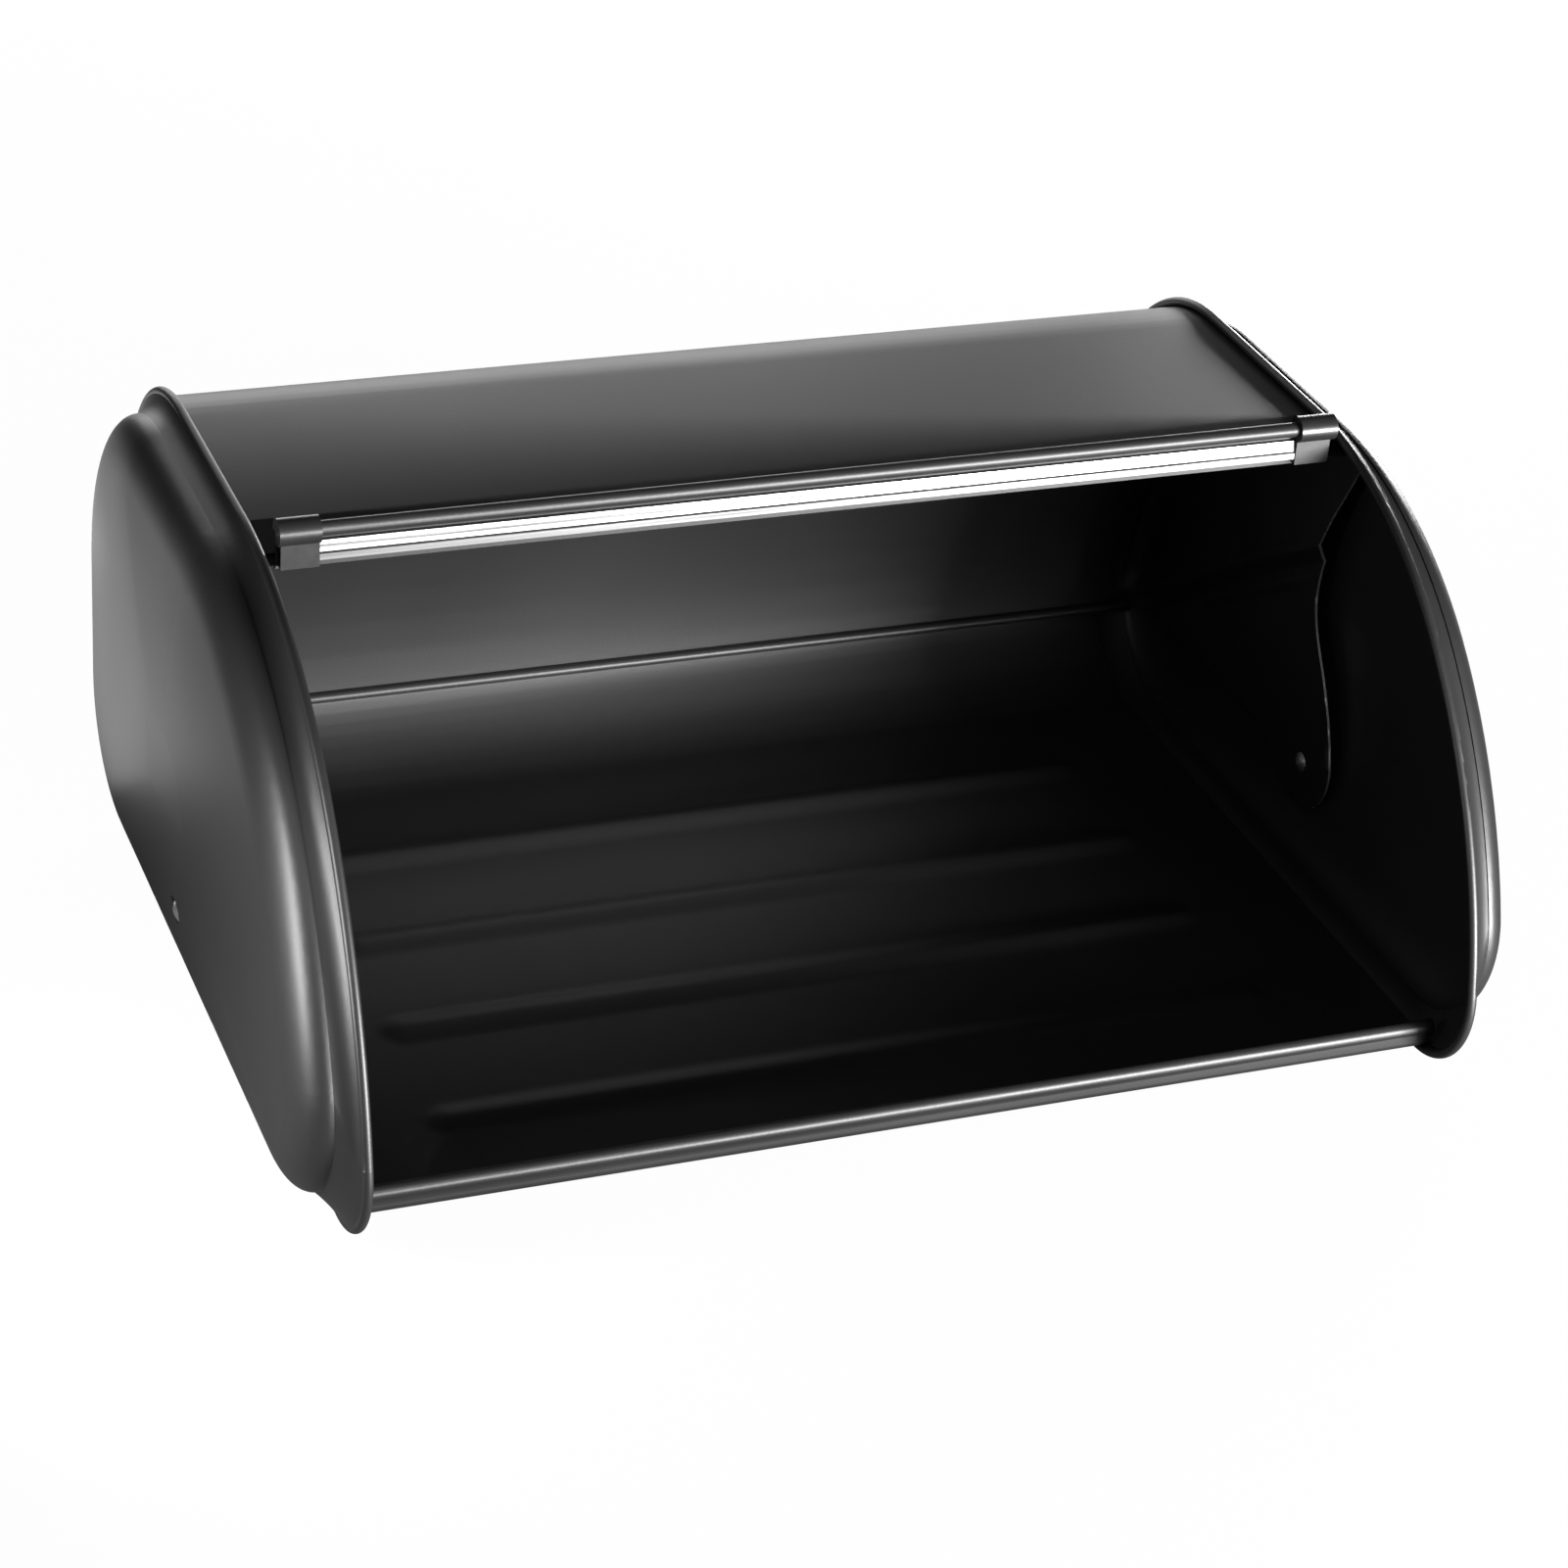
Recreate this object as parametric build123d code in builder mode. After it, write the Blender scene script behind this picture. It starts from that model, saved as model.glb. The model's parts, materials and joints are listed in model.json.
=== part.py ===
from build123d import *
from math import acos, atan2, cos, degrees, radians, sin, sqrt, tan
import os

os.makedirs("parts", exist_ok=True)

# A steel bread box with a roll-front lid. X runs along its length, Y to its back, Z up.
# It is drawn with the lid open, and its origin lies under its middle, on the worktop.
# A side view is drawn on Plane.YZ, so its first coordinate is Y and its second is Z.

# Sheet and end profile
sheet = 0.8
box_depth = 284.0
rim_height = 165.0
rear_low_radius = 40.0
rear_top_radius = 66.0
top_front_radius = 135.0
front_radius = 180.0
front_blend_angle = 134.5
front_low_radius = 28.4

# End caps
rim_x = 172.5
rim_bead_radius = 1.5
rim_flat_depth = 0.2
flare_width = 8.1
flare_radius = 8.0
flare_run = 6.9
flare_inset = 5.6
seam_step = 0.4
front_low_growth = 13.8
rear_low_growth = 11.2
rear_top_growth = 7.2
dish_depth = 9.8
dish_round_width = 20.0
dish_lap = 0.5
dish_round_turn = 78.5
crown_centre = (8.0, 80.0)
crown_height = 4.4
crown_flat_share = 0.2
seat_radius = 4.6
seat_rise = 10.7

# Body sheet
body_seat = 0.1
body_overlap = 1.0
shelf_front_y = 3.5
lip_length = 15.0
lip_slope = 13.5
front_turn_angle = 12.0
front_turn_radius = 3.0
front_hem_z = 10.5
hem_radius = 2.3
hem_proud = 0.8

# Pressed ribs in the floor
rib_count = 4
rib_pitch = 49.0
rib_middle_y = -7.5
rib_length = 272.0
rib_width = 12.0
rib_rise = 1.6
rib_slope = 45.0

# Pivots and lid
pivot_y = 3.0
pivot_z = 34.0
lid_radius = 124.0
lid_side_gap = 2.2
drum_round = 12.0
step_depth = 4.2
step_run = 5.0
fold_rear = (131.0, 33.0)
fold_front = (12.0, 109.5)
lid_rear_angle = -1.5
trim_margin = 2.0
flange_y = -15.2
bead_z = 168.0
bead_radius = 2.3
bead_rim_gap = 3.7
rear_bead_radius = 1.8
rear_bead_end_gap = 7.0
hub_centre = (3.5, 37.0)
hub_radius = 18.5
hub_rear_angle = -50.0
hub_front_angle = 170.0
arm_rear = (36.0, 33.0)
arm_rear_round = 25.0
arm_front_points = [(-10.0, 54.0), (-0.5, 70.5), (8.5, 86.0), (9.0, 102.0), (3.0, 120.0), (-7.0, 139.0)]

# Handle clips and strip
clip_length = 12.3
clip_overhang = 0.2
clip_wall = 1.7
clip_play = 0.1
clip_gap_angle = -42.0
clip_gap_spread = 33.0
tab_length = 11.4
tab_low_z = 156.6
tab_high_z = 165.0
tab_thickness = 2.8
tab_play = 0.2
strip_low_z = 158.4
strip_height = 5.7
strip_thickness = 2.5
strip_lip_height = 2.0
strip_lip_proud = 0.5
strip_lean = 0.7
strip_play = 0.1
tongue_length = 3.0
tongue_thickness = 1.0
tongue_height = 3.3
tongue_play = 0.1

# Rivets and spacers
shank_radius = 1.6
hole_play = 0.08
head_radius = 3.3
head_height = 1.2
spacer_radius = 4.0
turning_play = 0.3


def ahead(y, z, angle, reach):
    """Point in the side view, at a reach and an angle from the rear towards the top."""
    return y + reach * cos(radians(angle)), z + reach * sin(radians(angle))


# Centres of the arcs that make the end profile
half_depth = box_depth / 2
rear_low_centre = (half_depth - rear_low_radius, rear_low_radius - rim_flat_depth)
rear_top_centre = (half_depth - rear_top_radius, rim_height - rear_top_radius)
radius_change = front_radius - top_front_radius
front_low_centre = (front_low_radius - half_depth, front_low_radius - rim_flat_depth)
front_centre_z = rim_height - top_front_radius - radius_change * sin(radians(front_blend_angle))
front_drop = front_low_centre[1] - front_centre_z
front_reach = sqrt((front_radius - front_low_radius) ** 2 - front_drop**2)
front_centre = (front_low_centre[0] + front_reach, front_centre_z)
top_front_centre = ahead(*front_centre, front_blend_angle, radius_change)
front_low_angle = 180 - degrees(atan2(front_drop, front_reach))


def end_profile(inset, growth=0.0, share=1.0):
    """Closed end profile, inside the rims' outermost line by the inset.

    Its corners gain the dish's extra roundness as the growth goes from 0 to 1, and the
    share draws it smaller, round the crown's middle."""
    low = inset - rim_flat_depth
    high = rim_height - inset
    rear = half_depth - inset
    front_low = front_low_radius - inset + growth * front_low_growth
    rear_low = rear_low_radius - inset + growth * rear_low_growth
    rear_top = rear_top_radius - inset + growth * rear_top_growth
    front = front_radius - inset
    drop = low + front_low - front_centre_z
    reach = sqrt((front - front_low) ** 2 - drop**2)
    low_angle = 180 - degrees(atan2(drop, reach))
    corner_y = front_centre[0] - reach

    def at(y, z):
        middle_y, middle_z = crown_centre
        return middle_y + share * (y - middle_y), middle_z + share * (z - middle_z)

    Line(at(corner_y, low), at(rear - rear_low, low))
    CenterArc(at(rear - rear_low, low + rear_low), share * rear_low, -90, 90)
    Line(at(rear, low + rear_low), at(rear, high - rear_top))
    CenterArc(at(rear - rear_top, high - rear_top), share * rear_top, 0, 90)
    Line(at(rear - rear_top, high), at(top_front_centre[0], high))
    top_front = share * (top_front_radius - inset)
    CenterArc(at(*top_front_centre), top_front, 90, front_blend_angle - 90)
    CenterArc(at(*front_centre), share * front, front_blend_angle, low_angle - front_blend_angle)
    CenterArc(at(corner_y, low + front_low), share * front_low, low_angle, 270 - low_angle)


# Places that several pieces share
seam_x = rim_x + flare_width
dish_edge_x = seam_x + dish_depth
seat_x = seam_x + seat_rise
seat_inner_x = seat_x - sheet
body_half_length = rim_x + body_overlap
body_inset = 2 * rim_bead_radius + body_seat
floor_low = body_inset - rim_flat_depth
floor_top = floor_low + sheet
lid_half_length = dish_edge_x - lid_side_gap
bead_half_length = rim_x - rim_bead_radius - bead_rim_gap
clip_inner_x = bead_half_length + clip_overhang - clip_length
pivot_axis = Axis((0, pivot_y, pivot_z), (1, 0, 0))
pivot_plane = Plane(origin=(0, pivot_y, pivot_z), x_dir=(1, 0, 0), z_dir=(0, -1, 0))
flange_front_y = flange_y - sheet
bead_y = flange_y - bead_radius


# End caps: a rolled rim, a hollow flare, and a crowned dish that is seamed to it
dish_inset = flare_inset - seam_step


def loft_through(stations):
    """Solid through end profiles, each given by its X, inset, growth and share."""
    with BuildPart() as body:
        for x, inset, growth, share in stations:
            with BuildSketch(Plane.YZ.offset(x)):
                with BuildLine():
                    end_profile(inset, growth, share)
                make_face()
        loft()
    return body.part


def flare(wall):
    """Solid up to the flare's outer face, or to its inner face with the wall."""
    stations = []
    for part_way in (0, 0.25, 0.5, 0.75, 1):
        back = flare_run * (1 - part_way)
        inset = flare_inset - flare_radius + sqrt((flare_radius + wall) ** 2 - back**2)
        stations.append((seam_x - back, inset, part_way, 1.0))
    return loft_through(stations)


def dish(wall):
    """Solid up to the dish's outer face, or to its inner face with the wall."""
    depth = dish_depth - wall
    width = dish_round_width - wall
    edge_inset = dish_inset + wall
    round_stations = [(seam_x - dish_lap, edge_inset, 1.0, 1.0)]
    for turned in (10, 25, 40, 55, 70, dish_round_turn):
        rise = depth * sin(radians(turned))
        inset = edge_inset + width * (1 - cos(radians(turned)))
        round_stations.append((seam_x + rise, inset, 1.0, 1.0))
    crown_stations = []
    for share in (1.0, 0.8, 0.6, 0.4, crown_flat_share):
        crown_rise = rise + crown_height * (1 - share**2)
        crown_stations.append((seam_x + crown_rise, inset, 1.0, share))
    return loft_through(round_stations) + loft_through(crown_stations)


with BuildPart() as end_cap_right:
    with BuildPart(mode=Mode.PRIVATE) as hollow:
        add(dish(sheet))
        with BuildSketch(Plane.YZ.offset(seat_inner_x)):
            with Locations((pivot_y, pivot_z)):
                Circle(seat_radius + sheet)
        extrude(amount=crown_height, mode=Mode.SUBTRACT)
    add(dish(0))
    add(hollow.part, mode=Mode.SUBTRACT)
    with BuildSketch(Plane.YZ.offset(seat_x)):
        with Locations((pivot_y, pivot_z)):
            Circle(seat_radius)
    extrude(amount=crown_height, mode=Mode.SUBTRACT)
    with BuildSketch(Plane.YZ.offset(seat_inner_x)):
        with Locations((pivot_y, pivot_z)):
            Circle(shank_radius + hole_play)
    extrude(amount=sheet, mode=Mode.SUBTRACT)
    with BuildPart(mode=Mode.PRIVATE) as flare_ring:
        add(flare(0))
        add(flare(sheet), mode=Mode.SUBTRACT)
    add(flare_ring.part)
    with BuildLine(Plane.YZ.offset(rim_x)) as rim_path:
        end_profile(rim_bead_radius)
    with BuildSketch(Plane(origin=rim_path.line @ 0, x_dir=(1, 0, 0), z_dir=(0, 1, 0))):
        Circle(rim_bead_radius)
    sweep(path=rim_path.line)
    split(bisect_by=Plane.XY, keep=Keep.TOP)
end_cap_right.part.label = "end_cap_right"
export_step(end_cap_right.part, "parts/end_cap_right.step")

with BuildPart() as end_cap_left:
    mirror(end_cap_right.part, about=Plane.YZ)
end_cap_left.part.label = "end_cap_left"
export_step(end_cap_left.part, "parts/end_cap_left.step")

# Body: one sheet that makes the shelf, the back, the floor and the hem along its front
with BuildPart() as body_shell:
    with BuildSketch(Plane.YZ):
        high = rim_height - body_inset
        rear = half_depth - body_inset
        with BuildLine():
            lip_end = ahead(shelf_front_y, high, 180 + lip_slope, lip_length)
            Polyline(lip_end, (shelf_front_y, high), (rear_top_centre[0], high))
            CenterArc(rear_top_centre, rear_top_radius - body_inset, 90, -90)
            Line((rear, rear_top_centre[1]), (rear, rear_low_centre[1]))
            CenterArc(rear_low_centre, rear_low_radius - body_inset, 0, -90)
            Line((rear_low_centre[0], floor_low), (front_low_centre[0], floor_low))
            front_arc = CenterArc(front_low_centre, front_low_radius - body_inset, 270, -front_turn_angle)
            turn = JernArc(front_arc @ 1, front_arc % 1, front_turn_radius, front_turn_angle - 90)
            Line(turn @ 1, ((turn @ 1).X, front_hem_z))
            offset(amount=sheet, side=Side.RIGHT)
        make_face()
        with Locations(((turn @ 1).X + hem_radius - hem_proud, front_hem_z)):
            Circle(hem_radius)
    extrude(amount=body_half_length, both=True)
    rib_places = GridLocations(0, rib_pitch, 1, rib_count).locations
    with BuildSketch(Plane.XY.offset(floor_top)):
        with Locations((0, rib_middle_y)):
            with Locations(*rib_places):
                SlotOverall(rib_length, rib_width)
    extrude(amount=rib_rise, taper=rib_slope)
    rib_hollow = 2 * sheet * tan(radians(rib_slope / 2))
    with BuildSketch(Plane.XY.offset(floor_low)):
        with Locations((0, rib_middle_y)):
            with Locations(*rib_places):
                SlotOverall(rib_length - rib_hollow, rib_width - rib_hollow)
    extrude(amount=rib_rise, taper=rib_slope, mode=Mode.SUBTRACT)
body_shell.part.label = "body_shell"
export_step(body_shell.part, "parts/body_shell.step")


# Lid: a drum segment with a stepped end, trimmed to its side view
def drum(inset):
    """Solid drum about the pivots, with the step along the fold in each end."""
    half_length = lid_half_length - inset
    run = Vector(fold_front[0] - fold_rear[0], fold_front[1] - fold_rear[1]).normalized()
    fold_plane = Plane(
        origin=(0, *fold_rear),
        x_dir=(1, 0, 0),
        z_dir=(0, run.X, run.Y),
    )
    fold_shift = -inset * tan(atan2(step_depth, step_run) / 2)
    with BuildPart() as body:
        with BuildSketch(pivot_plane) as profile:
            Rectangle(2 * half_length, lid_radius - inset, align=(Align.CENTER, Align.MIN))
            fillet(profile.vertices().group_by(Axis.Y)[-1], drum_round - inset)
        revolve(axis=pivot_axis)
        with BuildSketch(fold_plane):
            with BuildLine():
                step = Polyline(
                    (0, -2 * lid_radius),
                    (half_length, -2 * lid_radius),
                    (half_length, fold_shift - step_run),
                    (half_length - step_depth, fold_shift),
                    (half_length - step_depth, lid_radius),
                    (0, lid_radius),
                )
                mirror(step, about=Plane.YZ)
            make_face()
        extrude(amount=2 * lid_radius, both=True, mode=Mode.INTERSECT)
    return body.part


lid_front_angle = degrees(acos((flange_front_y - pivot_y) / lid_radius))
with BuildPart() as lid:
    add(drum(0))
    add(drum(sheet), mode=Mode.SUBTRACT)
    with BuildSketch(Plane.YZ):
        with BuildLine():
            trim_radius = lid_radius + trim_margin
            turned = lid_front_angle - lid_rear_angle
            round_edge = CenterArc((pivot_y, pivot_z), trim_radius, lid_rear_angle, turned)
            hub_turn = hub_front_angle - 360 - hub_rear_angle
            hub_edge = CenterArc(hub_centre, hub_radius, hub_rear_angle, hub_turn)
            FilletPolyline(round_edge @ 0, arm_rear, hub_edge @ 0, radius=arm_rear_round)
            front_points = [hub_edge @ 1, *arm_front_points, round_edge @ 1]
            Spline(*front_points)
        make_face()
    extrude(amount=2 * lid_half_length, both=True, mode=Mode.INTERSECT)
    with BuildSketch(Plane.YZ):
        with Locations(ahead(pivot_y, pivot_z, lid_rear_angle, lid_radius - rear_bead_radius)):
            Circle(rear_bead_radius)
    extrude(amount=lid_half_length - rear_bead_end_gap, both=True)
    with BuildSketch(Plane.YZ):
        flange_low_z = ahead(pivot_y, pivot_z, lid_front_angle, lid_radius - sheet)[1]
        with Locations((flange_y, flange_low_z)):
            Rectangle(sheet, bead_z - flange_low_z, align=(Align.MAX, Align.MIN))
        with Locations((bead_y, bead_z)):
            Circle(bead_radius)
    extrude(amount=bead_half_length, both=True)
    with BuildSketch(Plane.YZ):
        with Locations((pivot_y, pivot_z)):
            Circle(shank_radius + hole_play)
    extrude(amount=2 * lid_half_length, both=True, mode=Mode.SUBTRACT)
lid.part.label = "lid"
export_step(lid.part, "parts/lid.step")

# Handle clips: a split ring over each end of the bead, with a tab that holds the strip
strip_back_y = flange_front_y - strip_play
tongue_y = strip_back_y - strip_thickness / 2
tongue_z = strip_low_z + strip_height / 2
with BuildPart() as clip_right:
    with BuildSketch(Plane.YZ.offset(clip_inner_x)):
        with Locations((bead_y, bead_z)):
            Circle(bead_radius + clip_play + clip_wall)
            Circle(bead_radius + clip_play, mode=Mode.SUBTRACT)
            with BuildLine():
                gap_reach = 2 * (bead_radius + clip_play + clip_wall)
                corner = (bead_y, bead_z)
                low_side = ahead(*corner, clip_gap_angle - clip_gap_spread, gap_reach)
                high_side = ahead(*corner, clip_gap_angle + clip_gap_spread, gap_reach)
                Polyline(corner, low_side, high_side, close=True)
        make_face(mode=Mode.SUBTRACT)
    extrude(amount=clip_length)
    with BuildSketch(Plane.YZ.offset(clip_inner_x)):
        with Locations((flange_front_y - tab_play, tab_low_z)):
            Rectangle(tab_thickness, tab_high_z - tab_low_z, align=(Align.MAX, Align.MIN))
        with Locations((bead_y, bead_z)):
            Circle(bead_radius + clip_play, mode=Mode.SUBTRACT)
    extrude(amount=tab_length)
    with BuildSketch(Plane.YZ.offset(clip_inner_x)):
        with Locations((tongue_y, tongue_z)):
            Rectangle(tongue_thickness + 2 * tongue_play, tongue_height + 2 * tongue_play)
    extrude(amount=tongue_length + tongue_play, mode=Mode.SUBTRACT)
clip_right.part.label = "handle_clip_right"
export_step(clip_right.part, "parts/handle_clip_right.step")

with BuildPart() as clip_left:
    mirror(clip_right.part, about=Plane.YZ)
clip_left.part.label = "handle_clip_left"
export_step(clip_left.part, "parts/handle_clip_left.step")

# Handle strip, with a tongue at each end in a clip's tab
with BuildPart() as handle_strip:
    with BuildSketch(Plane.YZ):
        strip_high_z = strip_low_z + strip_height
        lip_z = strip_low_z + strip_lip_height
        strip_front_y = strip_back_y - strip_thickness
        with BuildLine():
            Polyline(
                (strip_back_y, strip_low_z),
                (strip_front_y, strip_low_z),
                (strip_front_y, lip_z),
                (strip_front_y + strip_lip_proud, lip_z + strip_lip_proud),
                (strip_front_y + strip_lip_proud + strip_lean, strip_high_z),
                (strip_back_y, strip_high_z),
                close=True,
            )
        make_face()
    extrude(amount=clip_inner_x - strip_play, both=True)
    with BuildSketch(Plane.YZ):
        with Locations((tongue_y, tongue_z)):
            Rectangle(tongue_thickness, tongue_height)
    extrude(amount=clip_inner_x + tongue_length, both=True)
handle_strip.part.label = "handle_strip"
export_step(handle_strip.part, "parts/handle_strip.step")

# Pivot rivets, one in each end
inner_head_x = lid_half_length - sheet - turning_play
head_curve = (head_height**2 + head_radius**2) / (2 * head_height)
with BuildPart() as pivot_rivets:
    with BuildSketch(pivot_plane):
        with BuildLine():
            inner_tip = (inner_head_x - head_height, 0)
            outer_tip = (seat_x + head_height, 0)
            Line(inner_tip, outer_tip)
            RadiusArc(outer_tip, (seat_x, head_radius), -head_curve)
            Polyline(
                (seat_x, head_radius),
                (seat_x, shank_radius),
                (inner_head_x, shank_radius),
                (inner_head_x, head_radius),
            )
            RadiusArc((inner_head_x, head_radius), inner_tip, -head_curve)
        make_face()
    revolve(axis=pivot_axis)
    mirror(about=Plane.YZ)
pivot_rivets.part.label = "pivot_rivets"
export_step(pivot_rivets.part, "parts/pivot_rivets.step")

# Spacers on the rivets, between the lid's arms and the caps
with BuildPart() as pivot_spacers:
    with BuildSketch(Plane.YZ.offset(seat_inner_x)):
        with Locations((pivot_y, pivot_z)):
            Circle(spacer_radius)
            Circle(shank_radius + hole_play, mode=Mode.SUBTRACT)
    extrude(amount=lid_half_length + turning_play - seat_inner_x)
    mirror(about=Plane.YZ)
pivot_spacers.part.label = "pivot_spacers"
export_step(pivot_spacers.part, "parts/pivot_spacers.step")
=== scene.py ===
# %% [markdown]
# # A steel bread box with a roll-front lid
# The box is pressed from thin steel sheet and powder coated in satin black. Two dished
# ends hold one long sheet that makes the shelf, the back and the floor. A drum-shaped lid
# turns on two rivets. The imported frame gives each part's true place, and every piece made
# here is built on it, in metres.

# %% Frame
import json
from math import atan2, cos, degrees, exp, hypot, pi, radians, sin

import bmesh
import bpy
from mathutils import Matrix, Vector

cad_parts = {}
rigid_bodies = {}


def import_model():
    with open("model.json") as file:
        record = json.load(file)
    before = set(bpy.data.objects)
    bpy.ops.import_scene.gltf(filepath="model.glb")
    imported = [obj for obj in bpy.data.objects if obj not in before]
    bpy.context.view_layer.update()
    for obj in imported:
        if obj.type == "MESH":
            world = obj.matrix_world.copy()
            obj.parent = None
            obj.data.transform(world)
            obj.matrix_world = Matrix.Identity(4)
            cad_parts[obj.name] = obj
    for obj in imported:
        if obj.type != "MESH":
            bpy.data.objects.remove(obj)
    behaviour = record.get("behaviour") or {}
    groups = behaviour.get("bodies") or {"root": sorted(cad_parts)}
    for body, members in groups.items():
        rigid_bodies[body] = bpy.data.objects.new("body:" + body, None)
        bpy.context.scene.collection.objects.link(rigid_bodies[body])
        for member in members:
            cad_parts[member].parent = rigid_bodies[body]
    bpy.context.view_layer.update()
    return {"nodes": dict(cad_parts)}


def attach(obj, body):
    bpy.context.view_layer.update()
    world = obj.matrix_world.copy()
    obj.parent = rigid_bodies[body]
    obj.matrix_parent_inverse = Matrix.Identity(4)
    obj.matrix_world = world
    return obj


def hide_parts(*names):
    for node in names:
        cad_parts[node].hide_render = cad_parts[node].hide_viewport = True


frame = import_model()
node = frame["nodes"]
mm = 0.001

# %% [markdown]
# ## Writing materials as sums
# A finish is a small formula: a roughness, plus a little cloud. The class below wraps a
# socket, so that Python's own plus and times signs add the Math nodes. Any other node
# comes from one method, which sets the node's options first and then its sockets.


# %% Shader helpers
class Sockets:
    def __init__(self, tree, socket):
        self.tree = tree
        self.socket = socket

    def maths(self, operation, *values):
        inputs = dict(enumerate(values))
        return add_node(self.tree, "ShaderNodeMath", {"operation": operation}, inputs)["Value"]

    def __add__(self, other):
        return self.maths("ADD", self, other)

    def __mul__(self, other):
        return self.maths("MULTIPLY", self, other)

    __radd__ = __add__
    __rmul__ = __mul__


def add_node(tree, kind, settings=None, inputs=None):
    """Add a node, set its options, then its sockets, and give its outputs by name."""
    made = tree.nodes.new(kind)
    for name, value in (settings or {}).items():
        setattr(made, name, value)
    for name, value in (inputs or {}).items():
        if isinstance(value, Sockets):
            tree.links.new(value.socket, made.inputs[name])
        else:
            made.inputs[name].default_value = value
    return {out.name: Sockets(tree, out) for out in made.outputs if out.enabled}


def new_material(name):
    """An empty material, its node tree, and its object coordinates."""
    material = bpy.data.materials.new(name)
    material.use_nodes = True
    tree = material.node_tree
    tree.nodes.clear()
    return material, tree, add_node(tree, "ShaderNodeTexCoord")["Object"]


def noise(tree, place, scale, detail):
    """Cloudy noise from 0 to 1. The scale counts its clouds in a metre."""
    inputs = {"Vector": place, "Scale": scale, "Detail": detail}
    return add_node(tree, "ShaderNodeTexNoise", None, inputs)["Fac"]


def bumped(tree, height, strength, depth):
    """The surface's normal, tilted by a height that is the depth from bottom to top."""
    inputs = {"Height": height, "Strength": strength, "Distance": depth}
    return add_node(tree, "ShaderNodeBump", None, inputs)["Normal"]


def finish_surface(tree, inputs):
    """End a material with one Principled shader."""
    shader = add_node(tree, "ShaderNodeBsdfPrincipled", None, inputs)["BSDF"]
    add_node(tree, "ShaderNodeOutputMaterial", None, {"Surface": shader})


# %% [markdown]
# ## Powder coat
# Powder coat is a baked plastic skin. It is nearly black, with a satin gloss, and its
# surface has a very fine orange-peel. The grain is a small bump, and the gloss changes
# slowly over the sheet, as it does where the coat is thicker.


# %% Powder coat
def powder_coat(name, base, rough, peel):
    material, tree, place = new_material(name)
    cloud = noise(tree, place, 14.0, 2.0)
    grain = noise(tree, place, 900.0, 2.0)
    dark = (base * 0.8, base * 0.8, base * 0.82, 1)
    light = (base * 1.2, base * 1.2, base * 1.24, 1)
    blend = {"Factor": cloud, "A": dark, "B": light}
    shade = add_node(tree, "ShaderNodeMix", {"data_type": "RGBA"}, blend)["Result"]
    finish_surface(tree, {
        "Base Color": shade,
        "Roughness": cloud * 0.06 + (rough - 0.03),
        "Normal": bumped(tree, grain, peel, 0.1 * mm),
        "IOR": 1.5,
    })
    return material


coat = powder_coat("satin_powder_coat", base=0.011, rough=0.46, peel=0.25)
print("coat:", coat.name, len(coat.node_tree.nodes), "nodes")

# %% [markdown]
# ## Brushed strip, plated rivets and moulded clips
# The strip is bare steel, brushed along its length, so its streaks are noise stretched
# along X. The rivets are plated and brighter. The clips are moulded plastic, and the
# spacers on the rivets are pale nylon. The lid's sheared edges have lost their coat.


# %% Small finishes
def brushed_steel(name):
    material, tree, place = new_material(name)
    stretch = {"Vector": place, "Scale": (12, 900, 900)}
    streak = noise(tree, add_node(tree, "ShaderNodeMapping", None, stretch)["Vector"], 1.0, 3.0)
    finish_surface(tree, {
        "Base Color": (0.2, 0.2, 0.2, 1),
        "Metallic": 1.0,
        "Roughness": streak * 0.2 + 0.3,
        "Normal": bumped(tree, streak, 0.4, 0.2 * mm),
    })
    return material


def plain_finish(name, colour, rough, metallic, peel):
    material, tree, place = new_material(name)
    grain = noise(tree, place, 500.0, 3.0)
    finish_surface(tree, {
        "Base Color": (*colour, 1),
        "Metallic": metallic,
        "Roughness": grain * 0.1 + (rough - 0.05),
        "Normal": bumped(tree, grain, peel, 0.1 * mm),
    })
    return material


strip_finish = brushed_steel("brushed_strip_steel")
rivet_finish = plain_finish("plated_rivet", (0.9, 0.9, 0.9), rough=0.34, metallic=1.0, peel=0.1)
clip_finish = plain_finish(
    "moulded_clip_plastic", (0.012, 0.012, 0.012), rough=0.35, metallic=0.0, peel=0.2
)
bare_edge = plain_finish("sheared_bare_edge", (0.9, 0.9, 0.9), rough=0.5, metallic=1.0, peel=0.2)
spacer_finish = plain_finish("nylon_spacer", (0.8, 0.8, 0.78), rough=0.45, metallic=0.0, peel=0.1)

# %% Finishes on the frame's nodes
finish_of = {
    "body_shell": coat,
    "end_cap_left": coat,
    "end_cap_right": coat,
    "lid": coat,
    "handle_clip_left": clip_finish,
    "handle_clip_right": clip_finish,
    "handle_strip": strip_finish,
    "pivot_rivets": rivet_finish,
    "pivot_spacers": spacer_finish,
}
for name, finish in finish_of.items():
    node[name].data.materials.clear()
    node[name].data.materials.append(finish)
print("finishes:", {name: finish.name for name, finish in finish_of.items()})

# %% [markdown]
# ## Working the pressed sheets
# The press leaves creases and a pinched corner beside the lid's folds, and the floor's
# ribs have soft shoulders. Both are made on a copy of the sheet. The copy's doubles are
# merged, planes cut it into small faces where it needs them, and its points then move by
# formulas, the two sides of the sheet together. The cuts also keep the long faces from
# shading in stripes.


# %% Helpers for sheet work
def bell(distance, width):
    """A soft hump: 1 on its line, and almost nothing two widths away."""
    return exp(-((distance / width) ** 2))


def ramp(value, start, end):
    """Smooth change from 0 at the start to 1 at the end."""
    share = min(max((value - start) / (end - start), 0.0), 1.0)
    return share * share * (3 - 2 * share)


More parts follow.
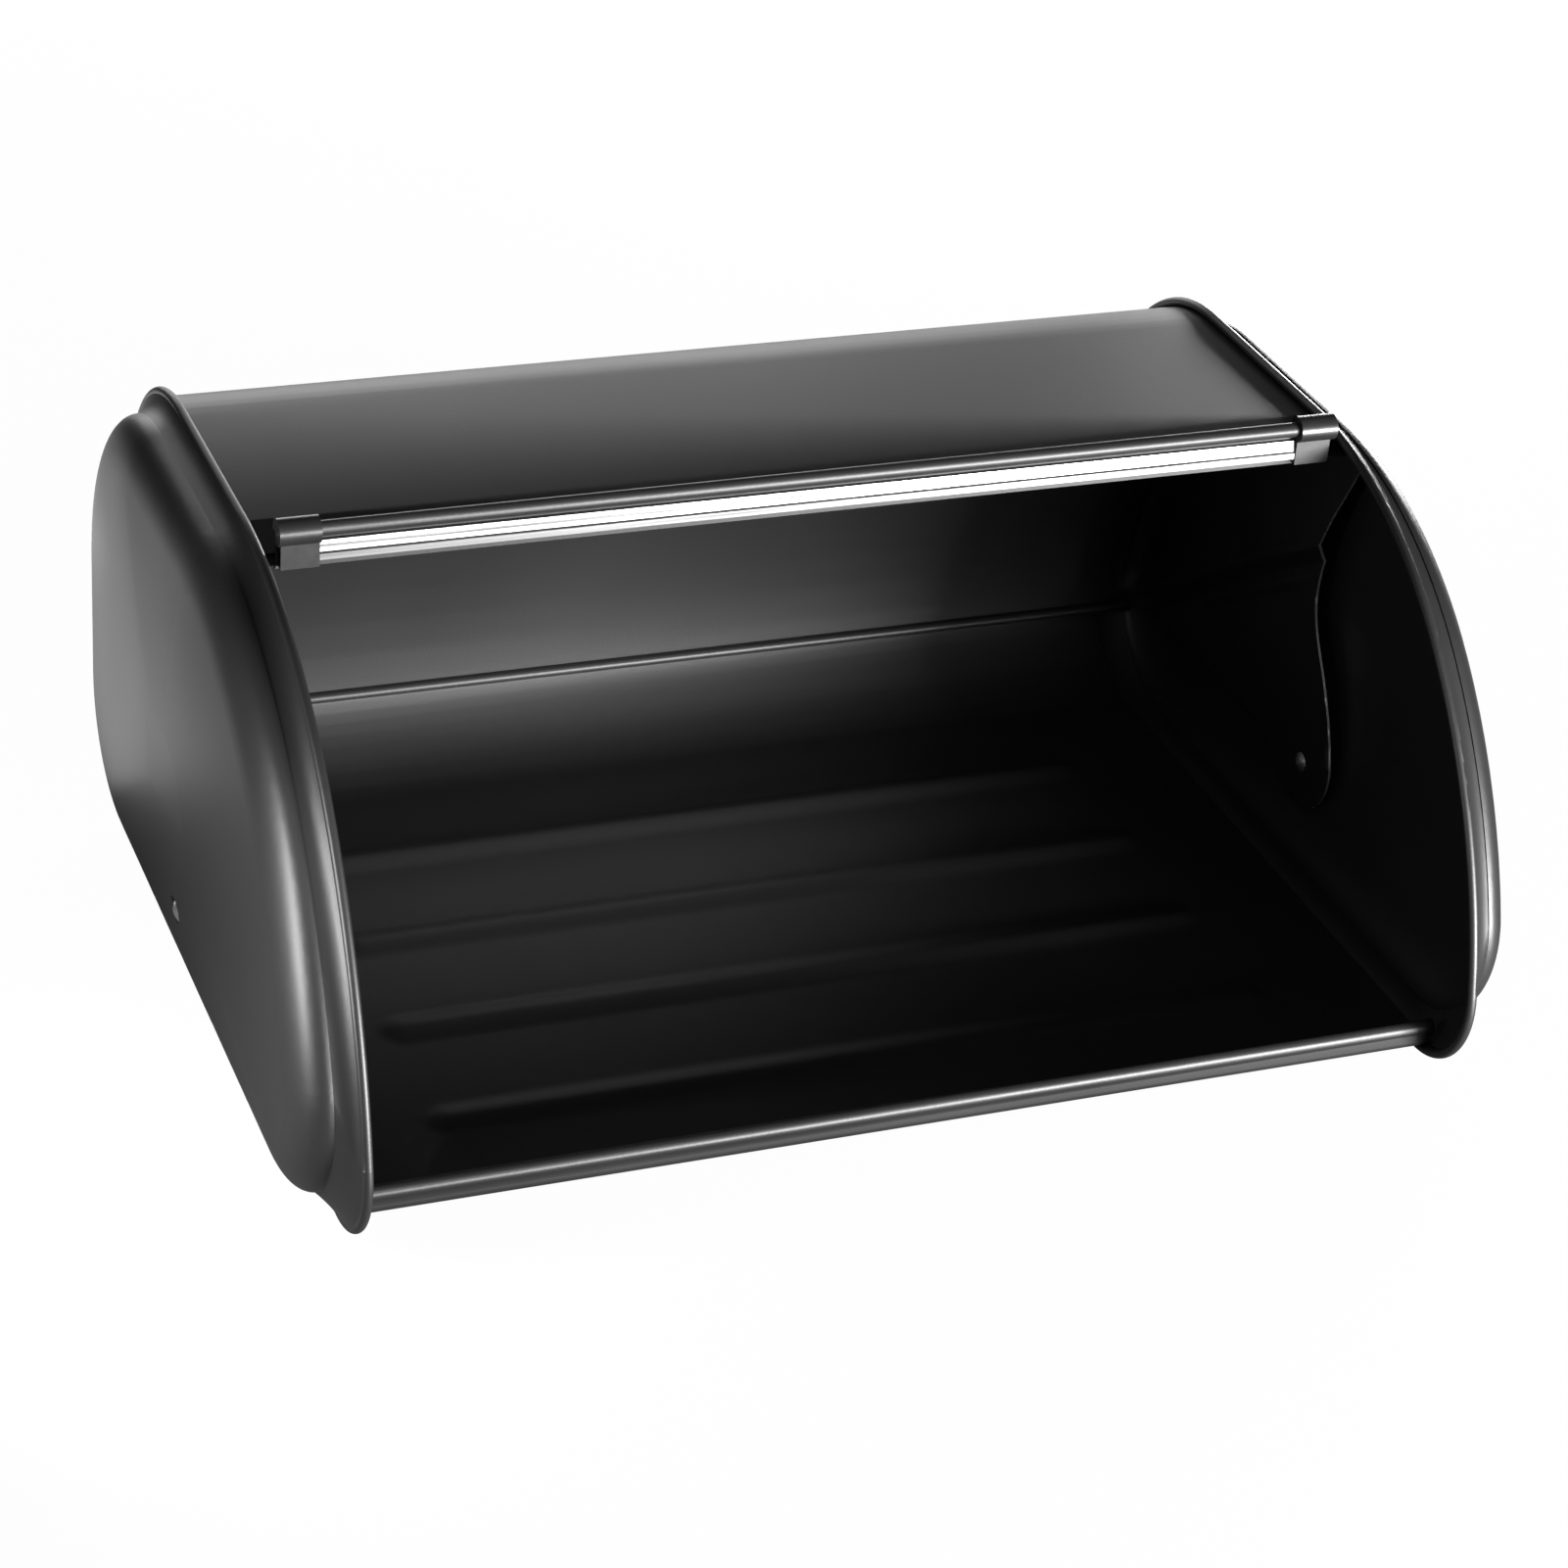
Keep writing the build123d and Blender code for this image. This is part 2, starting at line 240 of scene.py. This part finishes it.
def steps(start, end, pitch):
    """Evenly spaced places from the start to the end, given in millimetres."""
    count = round((end - start) / pitch)
    return [(start + pitch * turn) * mm for turn in range(count + 1)]


def everywhere(centre):
    return True


def near_faces(shape, wanted):
    """The faces whose centre is wanted, with their edges and points, for a cut."""
    faces = [face for face in shape.faces if wanted(face.calc_center_median())]
    edges = {edge for face in faces for edge in face.edges}
    points = {point for face in faces for point in face.verts}
    return [*points, *edges, *faces]


def cut_grid(shape, axis, places, wanted):
    """Cut the wanted faces by a plane across the axis at each of the places."""
    normal = Vector([float(axis == turn) for turn in range(3)])
    for place in places:
        geometry = near_faces(shape, wanted)
        bmesh.ops.bisect_plane(
            shape, geom=geometry, dist=1e-6, plane_co=normal * place, plane_no=normal
        )


def copied_sheet(name):
    """A node's mesh as one closed shape, with its loose triangles joined."""
    shape = bmesh.new()
    shape.from_mesh(node[name].data)
    bmesh.ops.remove_doubles(shape, verts=shape.verts, dist=1e-6)
    return shape


def finished_sheet(shape, name, body, finishes):
    """Make the worked shape a piece that rides on its body, smooth but for its edges."""
    mesh = bpy.data.meshes.new(name)
    shape.to_mesh(mesh)
    shape.free()
    piece = bpy.data.objects.new(name, mesh)
    bpy.context.scene.collection.objects.link(piece)
    for finish in finishes:
        mesh.materials.append(finish)
    mesh.shade_smooth()
    mesh.set_sharp_from_angle(angle=radians(32))
    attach(piece, body)
    return piece


# %% [markdown]
# ## Lid
# Each end of the lid is drawn round, then stepped along a sloping fold. Spare metal has
# gathered beside the fold into a ridge, a groove and a shallow dent, and beside the drum
# into a crease with a faint twin. At the rear corner, where they meet, it is pinched. A
# place on the lid is measured as the box's side, the half length along the pivots, the
# reach from them, and the turn about them.

# %% Lid's own sizes, in millimetres
sheet = 0.8
pivot = Vector((0, 3, 34))
drum_radius = 124.0
drum_round = 12.0
drum_end = 188.2
round_half = drum_end - drum_round
round_reach = drum_radius - drum_round
flange_clear_y = -12
facet_sag = 0.25
bead_clearance = 2.2
bead_turn = radians(-1.5)
rear_bead = pivot + Vector((0, cos(bead_turn), sin(bead_turn))) * 122.2
fold_start = Vector((0, 131, 33))
fold_run = Vector((0, -119, 76.5)).normalized()
fold_up = Vector((0, 76.5, 119)).normalized()


def lid_measures(place):
    side = 1 if place.x > 0 else -1
    out = place - pivot
    return side, abs(place.x), hypot(out.y, out.z), atan2(out.z, out.y)


def lid_place(side, half, reach, turn):
    return Vector((side * half, pivot.y + cos(turn) * reach, pivot.z + sin(turn) * reach))


def to_true_round(place):
    """Put a cut's point, which lies on a flat facet, on the drum's true surface."""
    side, half, reach, turn = lid_measures(place)
    off_drum = reach < round_reach or reach > drum_radius + 0.3
    on_bead = (place - rear_bead).yz.length < bead_clearance
    if off_drum or on_bead or place.y < flange_clear_y:
        return place
    past = max(half - round_half, 0.0)
    rise = reach - round_reach
    swept = hypot(past, rise)
    for true_round in (drum_round, drum_round - sheet):
        if abs(swept - true_round) < facet_sag:
            scale = true_round / swept
            new_half = half if past == 0 else round_half + past * scale
            return lid_place(side, new_half, round_reach + rise * scale, turn)
    return place


# %% Marks of the press on the lid
# Each mark has a depth, the place of its line and its width.
ridge_depth, ridge_above, ridge_width = 1.3, -8.5, 2.2
groove_depth, groove_above, groove_width = 0.6, 2.0, 1.5
dent_depth, dent_along, dent_width = 0.9, 92, 6
crease_depth, crease_reach, crease_width = 0.9, 120.6, 1.6
twin_depth, twin_half, twin_width = 0.5, 177.5, 1.3
swell_depth, swell_half, swell_width = 1.0, 160, 5.0
pinch_push, pinch_lift, pinch_width = 2.2, 1.6, 4.5
pinch_half, pinch_reach, pinch_run = 181.5, 121, 4
run_per_degree = 2.1


def fold_marks(along, above):
    """How far the marks beside the fold push the lid's end inwards."""
    kept = ramp(along, 6, 24) * (1 - ramp(along, 118, 138))
    wander = 1 + 0.3 * sin(along / 8)
    ridge = ridge_depth * bell(above - ridge_above, ridge_width)
    groove = groove_depth * bell(above - groove_above, groove_width)
    dent_kept = ramp(above, 1, 5) * (1 - ramp(above, 22, 40))
    dent = dent_depth * dent_kept * bell(along - dent_along, dent_width)
    return kept * wander * (ridge + groove) - dent


def drum_marks(half, reach, turned):
    """The push inwards and the drop towards the pivot of the marks beside the drum."""
    shown = ramp(turned, 0, 4) * (1 - ramp(turned, 30, 55))
    crease_half = 184 - 2.6 * (1 - ramp(turned, 0, 26))
    from_crease = hypot(half - crease_half, reach - crease_reach)
    crease = crease_depth * bell(from_crease, crease_width)
    twin = twin_depth * bell(half - twin_half, twin_width) * bell(reach - 123.6, 3)
    swell = swell_depth * bell(half - swell_half, swell_width)
    return shown * crease, shown * (crease + twin + swell)


def worked_lid(place):
    """Move a point of the lid, in millimetres, for the marks that the press left."""
    side, half, reach, turn = lid_measures(place)
    turned = degrees(turn)
    inward = 0.0
    drop = 0.0
    if half > 181 and place.y > flange_clear_y:
        from_fold = place - fold_start
        inward += fold_marks(from_fold.dot(fold_run), from_fold.dot(fold_up))
    if half > 140 and reach > 108 and place.y > 10:
        crease_push, crease_drop = drum_marks(half, reach, turned)
        inward += crease_push
        drop += crease_drop
    run = turned * run_per_degree
    pinch = bell(hypot(half - pinch_half, reach - pinch_reach, run - pinch_run), pinch_width)
    inward += pinch_push * pinch
    drop += pinch_lift * pinch
    return lid_place(side, half - inward, reach - drop, turn)


# %% Worked lid
end_half = 119


def on_lid_end(centre):
    return abs(centre.x) > 122 * mm


lid_shape = copied_sheet("lid")
cuts_along = [*steps(-188, -120, 2), *steps(-100, 100, 20), *steps(120, 188, 2)]
cut_grid(lid_shape, 0, cuts_along, everywhere)
cut_grid(lid_shape, 1, steps(-9, 126, 3), on_lid_end)
cut_grid(lid_shape, 2, steps(18, 156, 3), on_lid_end)
for point in lid_shape.verts:
    place = point.co / mm
    if abs(place.x) > end_half:
        point.co = worked_lid(to_true_round(place)) * mm
lid_piece = finished_sheet(lid_shape, "worked_lid", "lid", [coat, bare_edge])
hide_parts("lid")
print("lid:", len(lid_piece.data.polygons), "faces")

# %% [markdown]
# ## Bare edges of the arms
# The arms' front edges are sheared after coating, so they show bright steel. They are the
# faces near an end of the lid that look forwards along the sheet's cut, below the drum.

# %% Bare edges
bare_slot = 1
bare_count = 0
for face in lid_piece.data.polygons:
    side, half, reach, turn = lid_measures(face.center / mm)
    cut_face = abs(face.normal.x) < 0.5 and face.normal.y < -0.15
    if half > 180 and cut_face and reach < 116:
        face.material_index = bare_slot
        bare_count += 1
print("bare edges:", bare_count, "faces")

# %% [markdown]
# ## Body's ribs
# The four ribs in the floor are shallow and soft, so they catch one long highlight and
# fade. The straight shoulders of the plain sheet are spread into a smooth swell, and the
# floor sags a little between the ribs.

# %% Ribbed body
floor_top = 3.7
floor_sag = 0.1
rib_lines = [-81.0, -32.0, 17.0, 66.0]
rib_half_run = 130.0
rib_rise = 1.4
rib_spread = 9.0


def softened_floor(place, faces_up):
    """Lift a point of the floor by a smooth swell over each rib."""
    level = floor_top - floor_sag if faces_up else floor_top - floor_sag - sheet
    beyond = max(abs(place.x) - rib_half_run, 0.0)
    for line in rib_lines:
        level += rib_rise * (1 - ramp(hypot(beyond, place.y - line), 0.0, rib_spread))
    return Vector((place.x, place.y, level))


def on_floor(centre):
    return centre.z < 6.2 * mm and -95 * mm < centre.y < 80 * mm


body_shape = copied_sheet("body_shell")
for line in rib_lines:
    cut_grid(body_shape, 1, steps(line - 10, line + 10, 1.25), on_floor)
cut_grid(body_shape, 0, [*steps(-142, -126, 1.6), *steps(126, 142, 1.6)], on_floor)
cut_grid(body_shape, 0, steps(-170, 170, 20), everywhere)
body_shape.normal_update()
for point in body_shape.verts:
    place = point.co / mm
    between_ribs = rib_lines[0] - 12 < place.y < rib_lines[-1] + 12
    if place.z < 6.2 and between_ribs and abs(place.x) < 145:
        point.co = softened_floor(place, point.normal.z > 0) * mm
body_piece = finished_sheet(body_shape, "ribbed_body", "housing", [coat])
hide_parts("body_shell")
print("body:", len(body_piece.data.polygons), "faces")

# %% [markdown]
# ## Floor and backdrop
# The box stands on a table against a white background. Light Path lets the camera see the
# table as plain white, mixed with a little of the real grey table, which keeps the box's
# shadow. Reflections see only the grey table, so the steel stays dark.


# %% Stage
def stage_white(name, white_share):
    material, tree, place = new_material(name)
    path = add_node(tree, "ShaderNodeLightPath")
    plain = add_node(tree, "ShaderNodeBsdfDiffuse", None, {"Color": (0.2, 0.2, 0.2, 1)})["BSDF"]
    white = {"Color": (1, 1, 1, 1), "Strength": 1.12}
    glow = add_node(tree, "ShaderNodeEmission", None, white)["Emission"]
    blend = {"Fac": path["Is Camera Ray"] * white_share, 1: plain, 2: glow}
    mixed = add_node(tree, "ShaderNodeMixShader", None, blend)["Shader"]
    add_node(tree, "ShaderNodeOutputMaterial", None, {"Surface": mixed})
    return material


shape = bmesh.new()
bmesh.ops.create_grid(shape, x_segments=1, y_segments=1, size=6.0)
floor_mesh = bpy.data.meshes.new("table_top")
shape.to_mesh(floor_mesh)
shape.free()
floor = bpy.data.objects.new("table_top", floor_mesh)
bpy.context.scene.collection.objects.link(floor)
floor_mesh.materials.append(stage_white("table_white", 0.87))

room_light = 0.03
world = bpy.data.worlds.new("studio")
bpy.context.scene.world = world
world.use_nodes = True
room = world.node_tree
room.nodes.clear()
seen = add_node(room, "ShaderNodeLightPath")["Is Camera Ray"]
backdrop = {"Color": (1, 1, 1, 1), "Strength": seen * (1 - room_light) + room_light}
sky = add_node(room, "ShaderNodeBackground", None, backdrop)["Background"]
add_node(room, "ShaderNodeOutputWorld", None, {"Surface": sky})
print("stage:", floor.name, "and", world.name)

# %% [markdown]
# ## Lamps
# Black steel shows the lamps more than its own colour, so each lamp is placed for one
# reflection. Two stand low behind the box and shine along its top. Two low ones at the
# front right reach the back wall through the mouth, where the right end shades the rest,
# and a weak one from high up fills in. A small one near the left end draws the soft line
# down its round edge, and cards on the table light the left end's face and the rear from
# below. The camera doesn't see the lamps.


# %% Lamps
def area_lamp(name, width, tall, power):
    lamp = bpy.data.lights.new(name, "AREA")
    lamp.shape = "RECTANGLE"
    lamp.size = width
    lamp.size_y = tall
    lamp.energy = power
    holder = bpy.data.objects.new(name, lamp)
    bpy.context.scene.collection.objects.link(holder)
    holder.visible_camera = False
    return holder


def softbox(name, bearing, height, reach, width, tall, power):
    """A softbox round the box: the bearing turns from the front, at 0, to the right, at 90."""
    turn = radians(bearing)
    holder = area_lamp(name, width, tall, power)
    holder.location = (reach * sin(turn), -reach * cos(turn), height)
    towards_box = Vector((0, 0, 0.07)) - holder.location
    holder.rotation_euler = towards_box.to_track_quat("-Z", "Y").to_euler()


def table_card(name, x, y, width, depth, power):
    """A glowing card that lies on the table, face up."""
    card = area_lamp(name, width, depth, power)
    card.location = (x, y, 0.002)
    card.rotation_euler = (pi, 0, 0)


softbox("rear_right_softbox", bearing=135, height=0.2, reach=1.6, width=0.6, tall=0.5, power=32)
softbox("rear_softbox", bearing=175, height=0.45, reach=1.6, width=1.2, tall=0.6, power=9)
softbox("front_right_softbox", bearing=24, height=0.12, reach=1.6, width=1.1, tall=0.3, power=34)
softbox("front_low_softbox", bearing=30, height=0.06, reach=1.1, width=0.4, tall=0.1, power=38)
softbox("front_high_softbox", bearing=335, height=1.2, reach=1.2, width=0.6, tall=0.6, power=2.5)
softbox("left_softbox", bearing=292, height=0.11, reach=0.33, width=0.04, tall=0.12, power=0.6)
table_card("left_card", x=-0.25, y=0.28, width=0.1, depth=0.3, power=0.16)
table_card("rear_card", x=-0.1, y=0.45, width=0.5, depth=0.3, power=0.5)
print("lamps:", sorted(lamp.name for lamp in bpy.data.lights))

# %% [markdown]
# ## Camera
# The camera was solved from the rims in the photograph, and is given by its azimuth,
# elevation and roll, the point it aims at, and its distance from that point.

# %% Camera
azimuth = radians(23.1021)
elevation = radians(29.9013)
roll = radians(4.7138)
aim = Vector((-27.43, -67.0, 94.76)) * mm
distance = 1.20418
focal_pixels = 4203.89
picture_pixels = 1601
sensor_width = 36.0
backwards = Vector((
    -sin(azimuth) * cos(elevation), -cos(azimuth) * cos(elevation), sin(elevation)
))
level = (-backwards).cross(Vector((0, 0, 1))).normalized()
upright = level.cross(-backwards)
right = level * cos(roll) + upright * sin(roll)
up = upright * cos(roll) - level * sin(roll)
camera_data = bpy.data.cameras.new("camera")
camera_data.sensor_width = sensor_width
camera_data.lens = sensor_width * focal_pixels / picture_pixels
camera = bpy.data.objects.new("camera", camera_data)
facing = Matrix((right, up, backwards)).transposed().to_4x4()
camera.matrix_world = Matrix.Translation(aim + backwards * distance) @ facing
bpy.context.scene.collection.objects.link(camera)
bpy.context.scene.camera = camera
bpy.context.scene.view_settings.view_transform = "Standard"
print("camera: lens", camera_data.lens, "at", list(camera.matrix_world.translation))
